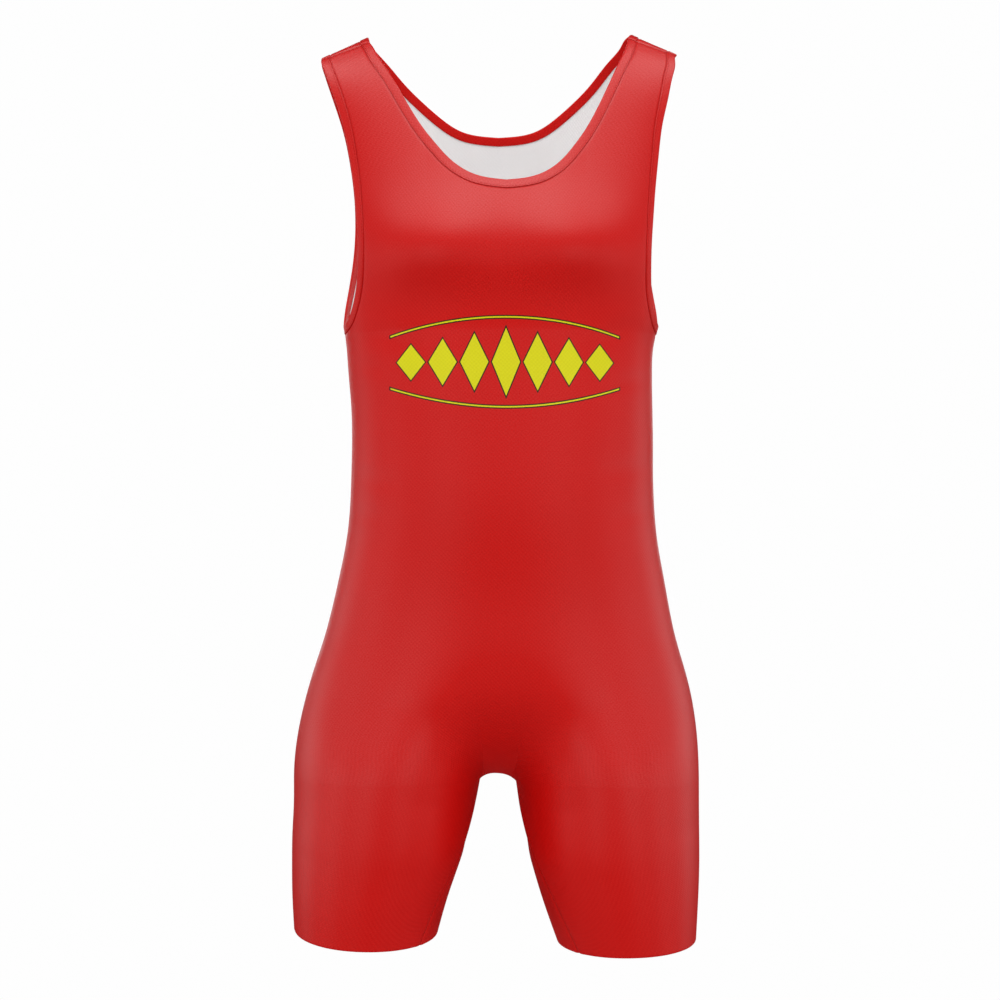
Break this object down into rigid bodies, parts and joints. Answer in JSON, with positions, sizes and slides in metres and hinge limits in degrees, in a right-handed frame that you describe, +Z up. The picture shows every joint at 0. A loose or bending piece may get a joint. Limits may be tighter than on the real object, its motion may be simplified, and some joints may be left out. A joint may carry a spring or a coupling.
{
  "type": "wrestling singlet",
  "caption": "Sleeveless wrestling singlet in its filled-out worn form, scooped neck, deep bound armholes and close thigh-length legs, open at neck, arms and hems.",
  "frame": {"origin": "midway between the shoulders, at the height where the straps rest, in the plane of the shoulder crests", "axes": "+X to the viewer's right, the front faces -Y, +Z up"},
  "size_m": [0.3788, 0.2225, 0.8489],
  "materials": {
    "cloth": "smooth stretch knit with a soft satin sheen, red outside and off-white inside",
    "binding": "folded strip of the same red stretch knit"
  },
  "bodies": {
    "root": {"front_panel": "cloth", "back_panel": "cloth", "neck_binding_front": "binding", "neck_binding_back": "binding", "armhole_binding_left_front": "binding", "armhole_binding_left_back": "binding", "armhole_binding_right_front": "binding", "armhole_binding_right_back": "binding"}
  },
  "joints": []
}
